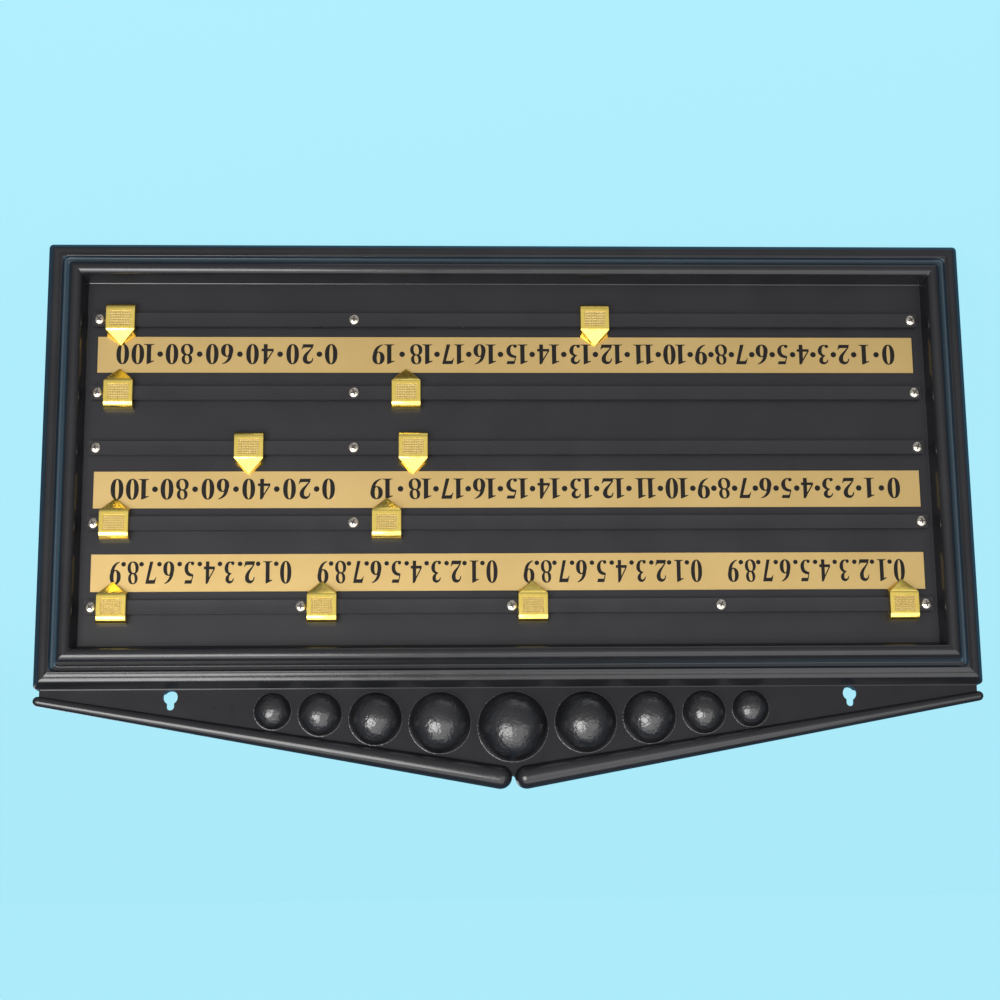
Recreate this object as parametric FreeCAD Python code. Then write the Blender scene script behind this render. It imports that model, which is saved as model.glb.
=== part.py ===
"""Wall-hung snooker and billiards scoring board, 585 mm wide and 348 mm high.

+Z is up on the wall, -Y is the front, and +X is to the right for a person who reads the board.
The wall is the plane y = 0.  The origin is midway between the two keyholes, on the wall.
Heights from the wall are called h, so a point at height h has y = -h.
Nodes: one black moulding, five rails, three number strips, seventeen screws in five groups,
twelve sliding pointers, nine half-ball domes and two raking mouldings.
"""

import FreeCAD, Part

import math
import os

V = FreeCAD.Vector

# ---- frame and panel ------------------------------------------------------------------------
frame_width = 584.8
frame_bottom = -290.3
frame_top = -5.1
frame_corner_radius = 2.6
member_width = 26.4  # outer edge of the frame to the edge of the panel
panel_front = 9.0
panel_thickness = 2.5
outer_wall = 3.0

# the frame's section, as places given by distance in from the outer edge and height from the wall
flange_top = (0.0, 8.4)
slope_foot = (0.5, 9.5)
slope_head = (3.2, 13.6)
shoulder = (3.7, 14.3)
band_start = (4.5, 14.7)
band_rise = (5.3, 14.95)
band_hollow = (7.3, 15.05)
band_slope = (8.3, 15.3)
band_end = (9.1, 15.8)
ridge = (9.6, 15.9)
groove_edge = (10.0, 15.6)
groove_wall = (10.8, 14.1)
groove_slope = (12.0, 13.95)
groove_floor = (13.1, 13.9)
bead_foot = (13.5, 14.3)
bead_flank = (14.2, 16.0)
bead_start = (15.2, 18.4)
bead_crest = (19.5, 22.6)
bead_end = (23.4, 20.4)
wall_head = (23.9, 19.2)
wall_foot = (25.6, 9.8)
cove = (25.8, 9.3)
channel_depth = 10.4
band_pocket = (5.0, 8.0, 12.8)  # from, to, depth
bead_pocket = (15.2, 22.2, 15.4)
crest_pocket = (17.2, 22.2, 19.4)
inner_wall = 4.2

# ---- crest plate above the frame ------------------------------------------------------------
plate_front = 8.0
plate_thickness = 3.0
plate_half_width = 288.6
plate_wall = 2.4
plate_outline_inset = 1.0
rake_slope = 0.185
rake_peak = 58.8  # where the two sloping outer edges would meet
plate_notch_top = 48.8
rake_outer = (289.3, 2.2)
rake_outer_radius = 3.0
rake_inner = (8.1, 50.0)
rake_inner_radius = 7.2

dome_radii = (21.6, 19.0, 16.3, 13.4, 11.4)  # middle dome first, then outwards
dome_gap = 4.1
dome_lower_tangent = -2.4
dome_height_ratio = 0.85
dome_shell = 1.8
dome_floor = 1.2
dome_flange_width = 0.35
dome_flange_height = 0.4
dome_spigot_inset = 2.6
dome_spigot_wall = 1.6

keyhole_spacing = 418.0
keyhole_radius = 4.4
keyhole_slot_radius = 2.3
keyhole_slot_centre = 5.7

# ---- number strips and rails ----------------------------------------------------------------
strip_length = 519.0
strip_height = 23.4
strip_thickness = 0.5
recess_depth = 0.3
recess_margin = 0.8
strip_z = {"strip_1": -76.8, "strip_2": -129.4, "strip_3": -217.0}  # from the top down

near_rail_offset = 22.0
far_rail_offset = 26.0
rail_z = {
    "rail_1": strip_z["strip_1"] + near_rail_offset,
    "rail_2": strip_z["strip_2"] + near_rail_offset,
    "rail_3": strip_z["strip_2"] - far_rail_offset,
    "rail_4": strip_z["strip_3"] + far_rail_offset,
    "rail_5": strip_z["strip_3"] - near_rail_offset,
}
rail_neck_width = 5.0
rail_neck_height = 2.0
rail_head_width = 8.6
rail_head_height = 2.4
rail_bevel = 0.15
rail_overrun = 4.0  # rail beyond the centre of its end screw

end_screw_x = 258.5
split_screw_x = 98.0
quarter_screw_x = 130.0
screw_x = {
    "rail_1": (-end_screw_x, -quarter_screw_x, 0.0, quarter_screw_x, end_screw_x),
    "rail_2": (-end_screw_x, split_screw_x, end_screw_x),
    "rail_3": (-end_screw_x, split_screw_x, end_screw_x),
    "rail_4": (-end_screw_x, split_screw_x, end_screw_x),
    "rail_5": (-end_screw_x, split_screw_x, end_screw_x),
}
screw_head_radius = 3.3
screw_head_edge = 0.9
screw_head_height = 2.0
screw_shank_radius = 1.5
screw_shank_length = 10.4
recess_arm_length = 3.6
recess_arm_width = 0.9
recess_arm_depth = 1.1

# ---- sliding pointers -----------------------------------------------------------------------
pointer_width = 18.4
pointer_half_face = 7.4
pointer_face = 17.0
pointer_floor = 9.6
pointer_wall = 1.1
pointer_lip = 1.0
pointer_tip = 16.2
pointer_tip_height = 10.6
pointer_tip_half_width = 0.5
pointer_cheek = 10.8  # where the sides start to run in to the tip, along the floor
tail_foot = (-10.0, 12.8)
tail_round = (-8.9, 15.7)
tail_head = (-6.2, 17.0)
pointer_slide_gap = 0.4
grip_width = 13.0
grip_height = 9.8
grip_depth = 0.4

# rail, side its point faces (+1 up, -1 down), place along the rail
pointers = {
    "pointer_1a": ("rail_1", -1, -244.3),
    "pointer_1b": ("rail_1", -1, -13.1),
    "pointer_1c": ("rail_1", -1, 117.1),
    "pointer_1d": ("rail_1", -1, 245.6),
    "pointer_2a": ("rail_2", -1, 77.3),
    "pointer_2b": ("rail_2", -1, 245.5),
    "pointer_3a": ("rail_3", 1, 60.7),
    "pointer_3b": ("rail_3", 1, 163.2),
    "pointer_4a": ("rail_4", -1, 65.1),
    "pointer_4b": ("rail_4", -1, 245.2),
    "pointer_5a": ("rail_5", 1, -55.0),
    "pointer_5b": ("rail_5", 1, 245.0),
}

# ---- back of the moulding -------------------------------------------------------------------
rib_thickness = 1.6
rib_back = 2.0
boss_radius = 4.0
boss_back = 1.5
boss_hole_back = 2.5
gusset_pitch = 58.0


def box(x0, x1, h0, h1, z0, z1):
    """A block between two places along X, two heights from the wall and two places along Z."""
    return Part.makeBox(x1 - x0, h1 - h0, z1 - z0, V(x0, -h1, z0))


def rod(radius, x, z, h0, h1):
    """A cylinder that stands out from the wall, between two heights."""
    return Part.makeCylinder(radius, h1 - h0, V(x, -h0, z), V(0, -1, 0))


def prism(points, h0, h1):
    """A closed outline in X and Z, given thickness between two heights."""
    corners = [V(x, -h0, z) for x, z in points]
    face = Part.Face(Part.makePolygon(corners + corners[:1]))
    return face.extrude(V(0, h0 - h1, 0))


def join(shapes):
    return shapes[0].multiFuse(shapes[1:]).removeSplitter()


def grouped(solids):
    return Part.makeCompound(solids)


# ---- the frame's moulded section ------------------------------------------------------------
def frame_section(origin, inward):
    """The frame's section: flared outer wall, sloping band, groove, big bead, cove to the panel."""

    def at(distance, height):
        return V(origin.x + inward.x * distance, -height, origin.z + inward.z * distance)

    def lines(*points):
        return [Part.LineSegment(at(*first), at(*second)) for first, second in zip(points, points[1:])]

    outline = lines((0, 0), flange_top, slope_foot, slope_head)
    outline.append(Part.Arc(at(*slope_head), at(*shoulder), at(*band_start)))
    outline += lines(band_start, band_rise, band_hollow, band_slope, band_end)
    outline.append(Part.Arc(at(*band_end), at(*ridge), at(*groove_edge)))
    outline += lines(groove_edge, groove_wall, groove_slope, groove_floor)
    outline += lines(groove_floor, bead_foot, bead_flank, bead_start)
    outline.append(Part.Arc(at(*bead_start), at(*bead_crest), at(*bead_end)))
    outline += lines(bead_end, wall_head, wall_foot)
    outline.append(Part.Arc(at(*wall_foot), at(*cove), at(member_width, panel_front)))
    outline += lines((member_width, panel_front), (member_width, 0), (0, 0))
    return Part.Face(Part.Wire([piece.toShape() for piece in outline]))


def frame_member(start, end, inward):
    """One side of the frame, with its ends mitred at 45 degrees."""
    run = end - start
    bar = frame_section(start, inward).extrude(run)
    along = V(run).normalize()
    reach = member_width
    mitre = [
        (start.x, start.z),
        (end.x, end.z),
        (end.x - along.x * reach + inward.x * reach, end.z - along.z * reach + inward.z * reach),
        (start.x + along.x * reach + inward.x * reach, start.z + along.z * reach + inward.z * reach),
    ]
    return bar.common(prism(mitre, 0, bead_crest[1] + 2))


def ring(inset_outer, inset_inner, h0, h1):
    """A rectangular ring that follows the frame, between two distances in from its outer edge."""
    half = frame_width / 2
    outer = box(-half + inset_outer, half - inset_outer, h0, h1,
                frame_bottom + inset_outer, frame_top - inset_outer)
    inner = box(-half + inset_inner, half - inset_inner, h0 - 1, h1 + 1,
                frame_bottom + inset_inner, frame_top - inset_inner)
    return outer.cut(inner)


def frame_ring():
    half = frame_width / 2
    corners = [V(-half, 0, frame_bottom), V(half, 0, frame_bottom)]
    corners += [V(half, 0, frame_top), V(-half, 0, frame_top)]
    inwards = [V(0, 0, 1), V(-1, 0, 0), V(0, 0, -1), V(1, 0, 0)]
    members = []
    for side in range(4):
        members.append(frame_member(corners[side], corners[(side + 1) % 4], inwards[side]))
    rounded = box(-half, half, -1, bead_crest[1] + 3, frame_bottom, frame_top)
    upright_edges = [edge for edge in rounded.Edges if abs(edge.tangentAt(edge.FirstParameter).y) > 0.9]
    rounded = rounded.makeFillet(frame_corner_radius, upright_edges)
    return join(members).common(rounded)


# ---- crest plate ----------------------------------------------------------------------------
def rake_edge(x):
    """Height in Z of the crest's sloping outer edge at a place along X."""
    return rake_peak - rake_slope * abs(x) - plate_outline_inset


def crest_outline(inset):
    side = plate_half_width - inset
    drop = inset * 1.02
    shoulder = rake_inner[0] + 0.3
    right = [(side, frame_top - 1), (side, rake_edge(side) - drop), (shoulder, rake_edge(shoulder) - drop)]
    left = [(-x, z) for x, z in reversed(right)]
    return right + [(0, plate_notch_top - drop)] + left


def dome_places():
    """The middle of each dome and its radius, from left to right."""
    right = []
    x = 0.0
    for inner, outer in zip(dome_radii, dome_radii[1:]):
        x += inner + dome_gap + outer
        right.append((x, outer))
    row = [(-x, radius) for x, radius in reversed(right)] + [(0.0, dome_radii[0])] + right
    return [(x, dome_lower_tangent + radius, radius) for x, radius in row]


def keyhole(x):
    """A round entry for the screw's head, and a narrow slot above it for the shank."""
    entry = rod(keyhole_radius, x, 0, -1, plate_front + 1)
    slot = box(x - keyhole_slot_radius, x + keyhole_slot_radius, -1, plate_front + 1, 0, keyhole_slot_centre)
    seat = rod(keyhole_slot_radius, x, keyhole_slot_centre, -1, plate_front + 1)
    return join([entry, slot, seat])


def crest_plate():
    """The plate above the frame: a shallow tray with a rim, open at the back."""
    tray = prism(crest_outline(0), 0, plate_front)
    hollow = prism(crest_outline(plate_wall), -1, plate_front - plate_thickness)
    keep = box(-plate_half_width, plate_half_width, -2, plate_front, frame_top - 2, frame_top + 2.5)
    return tray.cut(hollow.cut(keep))


# ---- the moulding ---------------------------------------------------------------------------
def channel_gussets():
    """Cross ribs in the hollow back of the frame."""
    gussets = []
    half = frame_width / 2
    depth = channel_depth + 0.6
    t = rib_thickness / 2
    columns = int((half - member_width) // gusset_pitch)
    for step in range(-columns, columns + 1):
        x = step * gusset_pitch
        gussets.append(box(x - t, x + t, rib_back, depth, frame_bottom + 1, frame_bottom + member_width - 2))
        gussets.append(box(x - t, x + t, rib_back, depth, frame_top - member_width + 2, frame_top - 1))
    middle = (frame_bottom + frame_top) / 2
    for step in (-1.5, -0.5, 0.5, 1.5):
        z = middle + step * gusset_pitch
        gussets.append(box(-half + 1, -half + member_width - 2, rib_back, depth, z - t, z + t))
        gussets.append(box(half - member_width + 2, half - 1, rib_back, depth, z - t, z + t))
    return gussets


def panel_ribs():
    """Stiffening ribs behind the panel: one behind each rail and three upright."""
    t = rib_thickness / 2
    inner_half = frame_width / 2 - member_width + 0.5
    low = frame_bottom + member_width - 0.5
    high = frame_top - member_width + 0.5
    under_panel = panel_front - panel_thickness + 0.2
    ribs = []
    for z in rail_z.values():
        ribs.append(box(-inner_half, inner_half, rib_back, under_panel, z - t, z + t))
    for x in (-quarter_screw_x, 0.0, quarter_screw_x):
        ribs.append(box(x - t, x + t, rib_back, under_panel, low, high))
    return ribs


def screw_places():
    return [(x, rail_z[name]) for name in rail_z for x in screw_x[name]]


def board_moulding():
    half = frame_width / 2
    panel = box(-half + member_width - 1, half - member_width + 1, panel_front - panel_thickness, panel_front,
                frame_bottom + member_width - 1, frame_top - member_width + 1)
    shell = join([frame_ring(), panel, crest_plate()])
    pockets = [
        ring(outer_wall, member_width - inner_wall, -1, channel_depth),
        ring(band_pocket[0], band_pocket[1], -1, band_pocket[2]),
        ring(bead_pocket[0], bead_pocket[1], -1, bead_pocket[2]),
        ring(crest_pocket[0], crest_pocket[1], -1, crest_pocket[2]),
    ]
    shell = shell.cut(join(pockets))
    bosses = [rod(boss_radius, x, z, boss_back, panel_front - 0.5) for x, z in screw_places()]
    shell = join([shell] + channel_gussets() + panel_ribs() + bosses)
    openings = [rod(screw_shank_radius, x, z, boss_hole_back, panel_front + 1) for x, z in screw_places()]
    openings += [keyhole(side * keyhole_spacing / 2) for side in (-1, 1)]
    openings += [rod(radius - dome_spigot_inset, x, z, 0, plate_front + 1) for x, z, radius in dome_places()]
    reach = strip_length / 2 + recess_margin
    for z in strip_z.values():
        rise = strip_height / 2 + recess_margin
        openings.append(box(-reach, reach, panel_front - recess_depth, panel_front + 1, z - rise, z + rise))
    return shell.cut(grouped(openings))


# ---- pieces on the crest --------------------------------------------------------------------
def raking_moulding(side):
    """A tapered half-round moulding with rounded ends, along one sloping edge of the crest."""
    start = V(side * rake_outer[0], -plate_front, rake_outer[1])
    end = V(side * rake_inner[0], -plate_front, rake_inner[1])
    run = end - start
    taper = Part.makeCone(rake_outer_radius, rake_inner_radius, run.Length, start, run)
    ends = [Part.makeSphere(rake_outer_radius, start), Part.makeSphere(rake_inner_radius, end)]
    whole = join([taper] + ends)
    front = box(-300, 300, plate_front, plate_front + 20, -20, 80)
    return whole.common(front)


def dome(x, z, radius):
    """A hollow half-ball cap with a thin flange and a spigot that fits the plate's hole."""
    height = radius * dome_height_ratio
    ball = (radius ** 2 + height ** 2) / (2 * height)
    centre = V(x, ball - height - plate_front, z)
    cap = Part.makeSphere(ball, centre)
    hollow = Part.makeSphere(ball - dome_shell, centre)
    reach = 2 * radius
    front = box(x - reach, x + reach, plate_front, plate_front + reach, z - reach, z + reach)
    floor = plate_front + dome_floor
    above_floor = box(x - reach, x + reach, floor, plate_front + reach, z - reach, z + reach)
    spigot_radius = radius - dome_spigot_inset
    base = rod(radius + dome_flange_width, x, z, plate_front, plate_front + dome_flange_height)
    spigot = rod(spigot_radius, x, z, plate_front - plate_thickness, plate_front + 1)
    bore = rod(spigot_radius - dome_spigot_wall, x, z, 0, plate_front + dome_floor + 0.5)
    return join([cap.common(front), base, spigot]).cut(join([hollow.common(above_floor), bore]))


# ---- rails, strips and screws ---------------------------------------------------------------
def rail(name):
    """A T-section rail, with a hole for each of its screws."""
    z = rail_z[name]
    places = screw_x[name]
    start = places[0] - rail_overrun
    end = places[-1] + rail_overrun
    neck_top = panel_front + rail_neck_height
    crown = neck_top + rail_head_height
    neck = rail_neck_width / 2
    head = rail_head_width / 2
    outline = [
        (-neck, panel_front), (-neck, neck_top), (-head, neck_top), (-head, crown - rail_bevel),
        (-head + rail_bevel, crown), (head - rail_bevel, crown), (head, crown - rail_bevel),
        (head, neck_top), (neck, neck_top), (neck, panel_front),
    ]
    corners = [V(start, -h, z + across) for across, h in outline]
    bar = Part.Face(Part.makePolygon(corners + corners[:1])).extrude(V(end - start, 0, 0))
    holes = [rod(screw_shank_radius, x, z, 0, crown + 1) for x in places]
    return bar.cut(grouped(holes))


def strip(name):
    """A thin number strip in its recess."""
    z = strip_z[name]
    back = panel_front - recess_depth
    half = strip_length / 2
    rise = strip_height / 2
    return box(-half, half, back, back + strip_thickness, z - rise, z + rise)


def screw(x, z):
    """A pan-head screw with a cross recess."""
    seat = panel_front + rail_neck_height + rail_head_height
    crown = seat + screw_head_height
    rise = screw_head_height - screw_head_edge
    ball = (screw_head_radius ** 2 + rise ** 2) / (2 * rise)
    dome_top = Part.makeSphere(ball, V(x, ball - crown, z))
    head = rod(screw_head_radius, x, z, seat, crown).common(
        join([dome_top, rod(screw_head_radius, x, z, seat, seat + screw_head_edge)]))
    shank = rod(screw_shank_radius, x, z, seat - screw_shank_length, seat + 0.5)
    arm = recess_arm_length / 2
    t = recess_arm_width / 2
    floor = crown - recess_arm_depth
    cross = join([
        box(x - arm, x + arm, floor, crown + 1, z - t, z + t),
        box(x - t, x + t, floor, crown + 1, z - arm, z + arm),
    ])
    return join([head, shank]).cut(cross)


# ---- pointers -------------------------------------------------------------------------------
def pointer_point(half):
    """The sloping point: a front facet that narrows to the tip, with a flared facet down each side."""
    root = pointer_half_face
    tip = pointer_tip_half_width
    corners = {
        "front": [V(-half, -pointer_face, root), V(half, -pointer_face, root),
                  V(tip, -pointer_tip_height, pointer_tip), V(-tip, -pointer_tip_height, pointer_tip)],
        "floor": [V(-half, -pointer_floor, root), V(half, -pointer_floor, root),
                  V(half, -pointer_floor, pointer_cheek), V(tip, -pointer_floor, pointer_tip),
                  V(-tip, -pointer_floor, pointer_tip), V(-half, -pointer_floor, pointer_cheek)],
    }
    front = corners["front"]
    floor = corners["floor"]
    outlines = [
        front,
        floor,
        [front[0], front[1], floor[1], floor[0]],
        [front[2], front[3], floor[4], floor[3]],
        [front[1], floor[1], floor[2]],
        [front[1], floor[2], front[2]],
        [front[2], floor[2], floor[3]],
        [front[0], floor[0], floor[5]],
        [front[0], floor[5], front[3]],
        [front[3], floor[5], floor[4]],
    ]
    faces = [Part.Face(Part.makePolygon(outline + outline[:1])) for outline in outlines]
    solid = Part.makeSolid(Part.makeShell(faces))
    if solid.Volume < 0:
        solid.reverse()
    return solid


def pointer_blank():
    """A pointer that faces +Z, centred on its rail: a thin-walled box clip with a sloping point.

    Lips under the rail's head hold it on, and its tail is rounded over.
    """
    half = pointer_width / 2

    def side(z, h):
        return V(-half, -h, z)

    outline = [
        Part.LineSegment(side(tail_foot[0], pointer_floor), side(*tail_foot)),
        Part.Arc(side(*tail_foot), side(*tail_round), side(*tail_head)),
        Part.LineSegment(side(*tail_head), side(pointer_half_face, pointer_face)),
        Part.LineSegment(side(pointer_half_face, pointer_face), side(pointer_half_face, pointer_floor)),
        Part.LineSegment(side(pointer_half_face, pointer_floor), side(tail_foot[0], pointer_floor)),
    ]
    body = Part.Face(Part.Wire([piece.toShape() for piece in outline])).extrude(V(pointer_width, 0, 0))

    point = pointer_point(half)

    gap = pointer_slide_gap
    neck_top = panel_front + rail_neck_height
    crown = neck_top + rail_head_height
    head_slot = box(-half - 1, half + 1, neck_top - gap, crown + gap,
                    -rail_head_width / 2 - gap, rail_head_width / 2 + gap)
    neck_slot = box(-half - 1, half + 1, 0, neck_top, -rail_neck_width / 2 - gap, rail_neck_width / 2 + gap)
    wall = pointer_wall
    cavity = box(-half + wall, half - wall, pointer_floor + pointer_lip, pointer_face - wall,
                 -pointer_half_face - 0.6, pointer_half_face - wall)
    grip = box(-grip_width / 2, grip_width / 2, pointer_face - grip_depth, pointer_face + 1,
               -grip_height / 2, grip_height / 2)
    return join([body, point]).cut(join([head_slot, neck_slot, cavity])).cut(grip)


def pointer(blank, name):
    rail_name, facing, x = pointers[name]
    piece = blank.copy()
    if facing < 0:
        piece.rotate(V(0, 0, 0), V(0, 1, 0), 180)
    piece.translate(V(x, 0, rail_z[rail_name]))
    return piece


def main():
    os.makedirs("parts", exist_ok=True)
    nodes = {"board_moulding": board_moulding()}
    nodes["raking_moulding_left"] = raking_moulding(-1)
    nodes["raking_moulding_right"] = raking_moulding(1)
    for number, place in enumerate(dome_places(), 1):
        nodes["dome_%d" % number] = dome(*place)
    for name in strip_z:
        nodes[name] = strip(name)
    for name in rail_z:
        nodes[name] = rail(name)
        nodes[name + "_screws"] = grouped([screw(x, rail_z[name]) for x in screw_x[name]])
    blank = pointer_blank()
    for name in pointers:
        nodes[name] = pointer(blank, name)
    for name, shape in nodes.items():
        shape.exportStep("parts/%s.step" % name)
        print(name, "valid", shape.isValid(), "solids", len(shape.Solids), "volume %.1f" % shape.Volume)


main()
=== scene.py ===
"""Snooker scoring board: fine meshes, materials, stage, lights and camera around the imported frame."""

import math

import bmesh
import bpy
from mathutils import Matrix, Vector
from mathutils.geometry import delaunay_2d_cdt

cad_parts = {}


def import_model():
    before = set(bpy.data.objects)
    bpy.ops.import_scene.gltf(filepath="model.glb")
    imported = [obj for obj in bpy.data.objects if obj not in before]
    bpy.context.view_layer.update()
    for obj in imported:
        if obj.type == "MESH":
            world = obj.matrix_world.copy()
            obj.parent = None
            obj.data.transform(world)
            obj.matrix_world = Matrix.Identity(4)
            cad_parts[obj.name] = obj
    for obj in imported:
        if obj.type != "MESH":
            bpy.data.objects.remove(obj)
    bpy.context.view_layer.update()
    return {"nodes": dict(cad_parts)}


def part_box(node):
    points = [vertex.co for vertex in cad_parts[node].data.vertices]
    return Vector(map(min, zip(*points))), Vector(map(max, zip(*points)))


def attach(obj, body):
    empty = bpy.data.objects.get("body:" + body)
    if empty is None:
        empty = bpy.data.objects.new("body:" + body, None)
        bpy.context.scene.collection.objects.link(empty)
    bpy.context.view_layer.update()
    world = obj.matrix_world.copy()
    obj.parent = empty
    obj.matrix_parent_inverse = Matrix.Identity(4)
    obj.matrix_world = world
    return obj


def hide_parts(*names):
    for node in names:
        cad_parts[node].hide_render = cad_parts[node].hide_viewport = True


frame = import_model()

MM = 0.001
nodes = frame["nodes"]

# ---- sizes of the moulding, in mm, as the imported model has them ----
frame_width = 584.8
frame_bottom = -290.3
frame_top = -5.1
corner_radius = 2.6
soft_corner = 0.4
member_width = 26.4
panel_front = 9.0
panel_thickness = 2.5
plate_front = 8.0
plate_thickness = 3.0
plate_half_width = 288.6
plate_wall = 2.4
rake_slope = 0.185
rake_peak = 57.8
plate_notch_top = 48.8
rake_outer = (289.3, 2.2, 3.0)  # place along X and Z, radius
rake_inner = (8.1, 50.0, 7.2)
keyhole_half_spacing = 209.0
keyhole_radius = 4.4
keyhole_slot_radius = 2.3
keyhole_slot_centre = 5.7
pocket_depth = 0.3  # the shallow pockets that the number strips lie in
pocket_margin = 0.8
rib_thickness = 1.6
rib_back = 2.0
rib_places = (-130.0, 0.0, 130.0)
gusset_pitch = 58.0
gusset_near, gusset_far = 2.0, 22.5  # in from the frame's outer edge
gusset_top = 11.0
boss_radius = 4.0
boss_back = 1.5
boss_bore = 1.5
dome_flange = 0.35
spigot_inset = 2.6
spigot_wall = 1.6
strip_names = ("strip_1", "strip_2", "strip_3")
rail_names = ("rail_1", "rail_2", "rail_3", "rail_4", "rail_5")
dome_names = ["dome_%d" % n for n in range(1, 10)]


# ---- mesh tools ----
def at(x, z, h):
    """A point in metres from mm along the wall, up the wall and out from the wall."""
    return Vector((x * MM, -h * MM, z * MM))


def box_mm(node):
    """A CAD node's box in mm: (x0, x1), (z0, z1), (h0, h1)."""
    low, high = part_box(node)
    return (low.x / MM, high.x / MM), (low.z / MM, high.z / MM), (-high.y / MM, -low.y / MM)


def clean(verts, faces):
    """A bmesh from points and faces, welded, with its faces turned outwards."""
    mesh = bpy.data.meshes.new("raw")
    mesh.from_pydata([tuple(v) for v in verts], [], faces)
    bm = bmesh.new()
    bm.from_mesh(mesh)
    bpy.data.meshes.remove(mesh)
    bmesh.ops.remove_doubles(bm, verts=bm.verts, dist=2e-6)
    bmesh.ops.dissolve_degenerate(bm, edges=bm.edges, dist=1e-7)
    bmesh.ops.recalc_face_normals(bm, faces=bm.faces)
    return bm


def finished(name, bm, sharp=28):
    """The object for a bmesh, shaded smooth except at its real edges."""
    mesh = bpy.data.meshes.new(name)
    bm.to_mesh(mesh)
    bm.free()
    mesh.shade_smooth()
    mesh.set_sharp_from_angle(angle=math.radians(sharp))
    obj = bpy.data.objects.new(name, mesh)
    bpy.context.scene.collection.objects.link(obj)
    return obj


def solid(name, shape):
    """The object for a closed shape of points and faces."""
    return finished(name, clean(*shape))


def fit(obj, material, slot, body, *replaced):
    """Gives a piece its material and its body, and hides the CAD nodes that it stands for."""
    obj.data.materials.clear()
    obj.data.materials.append(material)
    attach(obj, body)
    if replaced:
        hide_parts(*replaced)
    return obj


def merged(parts):
    """One list of points and faces from several."""
    verts, faces = [], []
    for more_verts, more_faces in parts:
        base = len(verts)
        verts += more_verts
        faces += [tuple(base + i for i in face) for face in more_faces]
    return verts, faces


def grid_faces(rows, columns, rows_closed, columns_closed):
    """The quads between rows of points; a closed grid runs round to its start."""
    faces = []
    for i in range(rows if rows_closed else rows - 1):
        for j in range(columns if columns_closed else columns - 1):
            a, b = i % rows, (i + 1) % rows
            c, d = j % columns, (j + 1) % columns
            faces.append((a * columns + c, b * columns + c, b * columns + d, a * columns + d))
    return faces


def turned(radius, first, sweep, steps):
    """Points (across, up) on part of a circle round the origin, with both its ends."""
    angles = [first + sweep * k / steps for k in range(steps + 1)]
    return [(radius * math.cos(a), radius * math.sin(a)) for a in angles]


def arc(start, middle, end, steps):
    """Points on the circular arc through three points, without the first."""
    ax, ay = start
    bx, by = middle
    cx, cy = end
    d = 2 * (ax * (by - cy) + bx * (cy - ay) + cx * (ay - by))
    a2, b2, c2 = ax * ax + ay * ay, bx * bx + by * by, cx * cx + cy * cy
    ux = (a2 * (by - cy) + b2 * (cy - ay) + c2 * (ay - by)) / d
    uy = (a2 * (cx - bx) + b2 * (ax - cx) + c2 * (bx - ax)) / d
    radius = math.hypot(ax - ux, ay - uy)
    first = math.atan2(ay - uy, ax - ux)
    turn = 2 * math.pi
    via = (math.atan2(by - uy, bx - ux) - first) % turn
    sweep = (math.atan2(cy - uy, cx - ux) - first) % turn
    if via > sweep:
        sweep -= turn
    return [(ux + a, uy + b) for a, b in turned(radius, first, sweep, steps)[1:]]


def softened(points, reach):
    """A closed outline with its corners rounded off over a short reach."""
    steps, least_turn, most = 3, 20, 0.42  # most is the part of an edge that one corner may take
    out = []
    count = len(points)
    for k in range(count):
        p, q, r = Vector(points[k - 1]), Vector(points[k]), Vector(points[(k + 1) % count])
        back, ahead = p - q, r - q
        if back.length < 1e-6 or ahead.length < 1e-6:
            continue
        if math.degrees(math.pi - back.angle(ahead)) < least_turn:
            out.append(tuple(q))
            continue
        cut = min(reach, most * min(back.length, ahead.length))
        a, b = q + back.normalized() * cut, q + ahead.normalized() * cut
        for step in range(steps + 1):
            t = step / steps
            out.append(tuple(a * (1 - t) ** 2 + q * 2 * t * (1 - t) + b * t ** 2))
    return out


def circle(x, z, radius, steps):
    return [(x + a, z + b) for a, b in turned(radius, 0, 2 * math.pi, steps)[:-1]]


def rectangle(x0, x1, z0, z1):
    return [(x0, z0), (x1, z0), (x1, z1), (x0, z1)]


def relief(regions):
    """A closed solid from flat regions, each with a lower and an upper height; a later region
    overrules an earlier one, and a region with no heights is an opening."""
    coords, outlines = [], []
    for outline, low, high in regions:
        area = sum(a[0] * b[1] - b[0] * a[1] for a, b in zip(outline, outline[1:] + outline[:1]))
        turned = outline if area > 0 else outline[::-1]
        outlines.append(list(range(len(coords), len(coords) + len(turned))))
        coords += [Vector(p) for p in turned]
    points, _, faces, _, _, origins = delaunay_2d_cdt(coords, [], outlines, 1, 1e-4, True)
    verts, index, solid = [], {}, []
    sides = {}

    def vert(point, h):
        key = (point, round(h, 4))
        if key not in index:
            index[key] = len(verts)
            verts.append(at(points[point].x, points[point].y, h))
        return index[key]

    for face, origin in zip(faces, origins):
        if not origin:
            continue
        _, low, high = regions[max(origin)]
        if low is None:
            continue
        solid.append(tuple(vert(p, high) for p in face))
        solid.append(tuple(vert(p, low) for p in reversed(face)))
        for a, b in zip(face, face[1:] + face[:1]):
            sides.setdefault((min(a, b), max(a, b)), []).append((low, high))
    for (a, b), levels in sides.items():
        walls = [levels[0]]
        if len(levels) == 2:
            walls = [sorted((levels[0][k], levels[1][k])) for k in (0, 1)]
        for low, high in walls:
            if high - low > 1e-4:
                solid.append((vert(a, low), vert(b, low), vert(b, high), vert(a, high)))
    return verts, solid


def lathe(profile, x, z, steps):
    """A solid of revolution about a line out from the wall; the profile is (radius, height) points."""
    verts = []
    for k in range(steps):
        angle = 2 * math.pi * k / steps
        for radius, h in profile:
            verts.append(at(x + radius * math.cos(angle), z + radius * math.sin(angle), h))
    return verts, grid_faces(steps, len(profile), True, False)


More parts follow.
